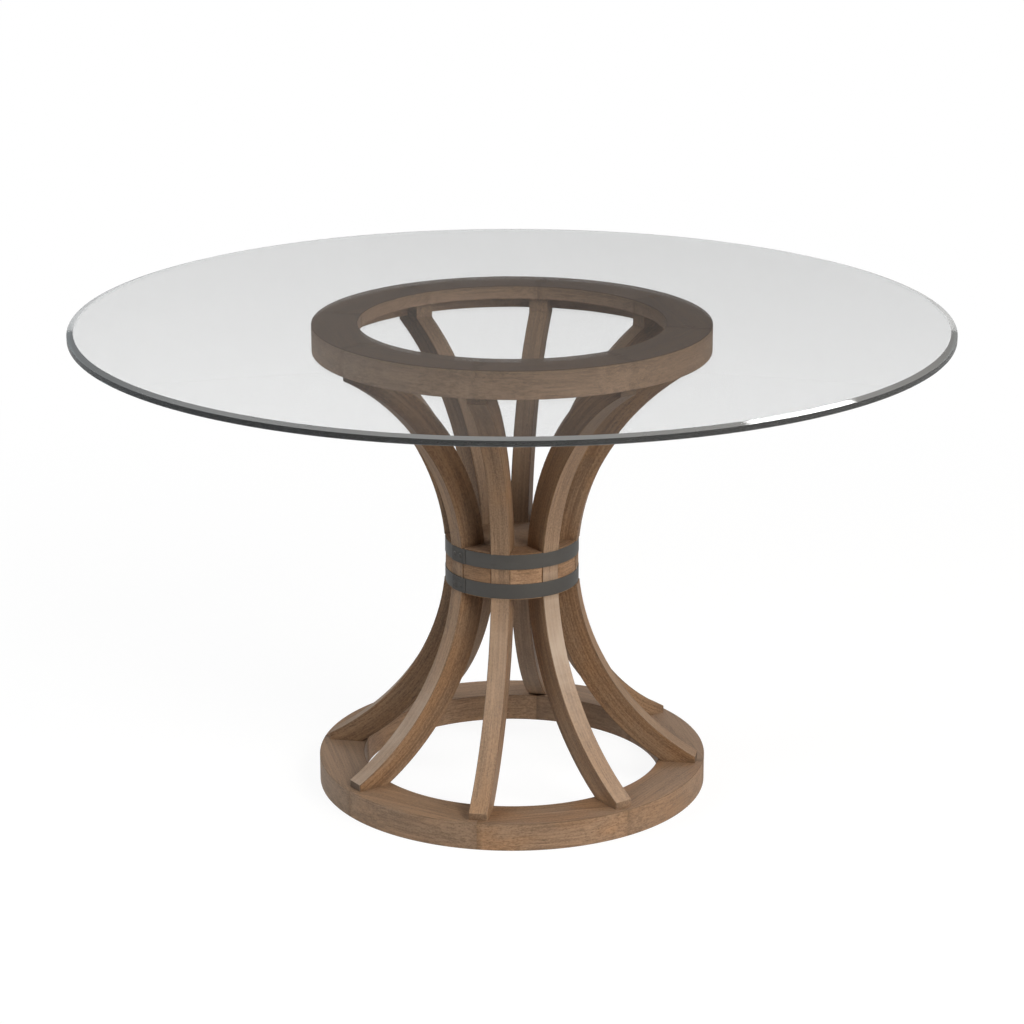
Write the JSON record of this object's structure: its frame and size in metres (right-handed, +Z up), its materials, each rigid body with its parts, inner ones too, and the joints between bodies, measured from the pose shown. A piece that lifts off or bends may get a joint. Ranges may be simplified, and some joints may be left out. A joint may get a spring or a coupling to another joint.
{
  "type": "round dining table",
  "caption": "Round dining table with a bevelled clear glass top on an hourglass base of curved wooden ribs between an upper and a lower wooden ring, bound at the waist by steel hoops.",
  "frame": {"origin": "on the floor under the centre of the glass top", "axes": "+Z up along the table's axis, -Y toward the viewer of the picture, +X to the viewer's right"},
  "size_m": [1.3714, 1.3716, 0.762],
  "materials": {
    "glass": "clear, polished bevel",
    "bumper": "clear soft plastic",
    "ring_wood": "weathered brown, matt",
    "rib_wood": "weathered brown with a grey wash",
    "hub_wood": "weathered brown, matt",
    "tenon_wood": "plain, unfinished",
    "hoop_steel": "dark satin"
  },
  "bodies": {
    "base": {"glass_bumpers": "bumper", "top_ring_segment_1": "ring_wood", "top_ring_segment_2": "ring_wood", "top_ring_segment_3": "ring_wood", "top_ring_segment_4": "ring_wood", "top_ring_segment_5": "ring_wood", "top_ring_segment_6": "ring_wood", "top_ring_segment_7": "ring_wood", "top_ring_segment_8": "ring_wood", "bottom_ring_segment_1": "ring_wood", "bottom_ring_segment_2": "ring_wood", "bottom_ring_segment_3": "ring_wood", "bottom_ring_segment_4": "ring_wood", "bottom_ring_segment_5": "ring_wood", "bottom_ring_segment_6": "ring_wood", "bottom_ring_segment_7": "ring_wood", "bottom_ring_segment_8": "ring_wood", "rib_1": "rib_wood", "rib_2": "rib_wood", "rib_3": "rib_wood", "rib_4": "rib_wood", "rib_5": "rib_wood", "rib_6": "rib_wood", "rib_7": "rib_wood", "rib_8": "rib_wood", "hub_block_1": "hub_wood", "hub_block_2": "hub_wood", "hub_block_3": "hub_wood", "hub_block_4": "hub_wood", "hub_block_5": "hub_wood", "hub_block_6": "hub_wood", "hub_block_7": "hub_wood", "hub_block_8": "hub_wood", "hub_core": "hub_wood", "top_tenons": "tenon_wood", "foot_tenons": "tenon_wood", "top_ring_splines": "tenon_wood", "bottom_ring_splines": "tenon_wood", "upper_hoop": "hoop_steel", "lower_hoop": "hoop_steel", "hoop_rivets": "hoop_steel"},
    "glass": {"glass_top": "glass"}
  },
  "joints": [
    {"name": "glass_lift", "type": "slide", "parent": "base", "child": "glass", "axis": [0, 0, 1], "range_m": [0, 0.1]}
  ]
}
